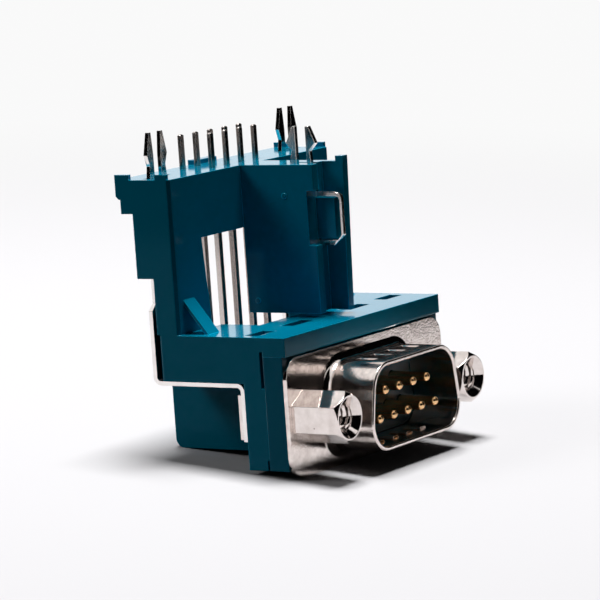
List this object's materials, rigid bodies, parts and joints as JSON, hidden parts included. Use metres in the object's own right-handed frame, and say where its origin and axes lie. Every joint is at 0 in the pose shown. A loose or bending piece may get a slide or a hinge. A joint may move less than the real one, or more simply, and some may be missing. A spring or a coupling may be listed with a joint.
{
  "type": "d-sub connector",
  "caption": "Right-angle board connector with a D-shaped metal shroud, round pins, hexagonal jackposts, board forks and a raised glossy housing.",
  "frame": {"origin": "centre of the base of the whole connector's box", "axes": "-Y is the mating direction, +Z goes towards the board, X runs along the rows of pins"},
  "size_m": [0.0308, 0.0256, 0.0358],
  "materials": {
    "nickel_shell": "bright nickel plate on drawn steel",
    "plated_jackpost": "bright nickel plate on turned hexagon",
    "plated_nut": "nickel plate",
    "tinned_spring": "tin plate on spring strip",
    "gold_contact": "gold flash on the pin, tin on the tail",
    "teal_housing": "glossy moulded polyester, deep teal",
    "dark_insulator": "glossy moulded polyester, dark teal"
  },
  "bodies": {
    "root": {"front_shell": "nickel_shell", "front_insulator": "dark_insulator", "housing": "teal_housing", "centre_board_lock": "tinned_spring", "ground_strap_left": "tinned_spring", "ground_strap_right": "tinned_spring", "standoff_left": "plated_jackpost", "standoff_right": "plated_jackpost", "nut_plate_left": "plated_nut", "nut_plate_right": "plated_nut", "contact_1": "gold_contact", "contact_2": "gold_contact", "contact_3": "gold_contact", "contact_4": "gold_contact", "contact_5": "gold_contact", "contact_6": "gold_contact", "contact_7": "gold_contact", "contact_8": "gold_contact", "contact_9": "gold_contact"}
  },
  "joints": []
}
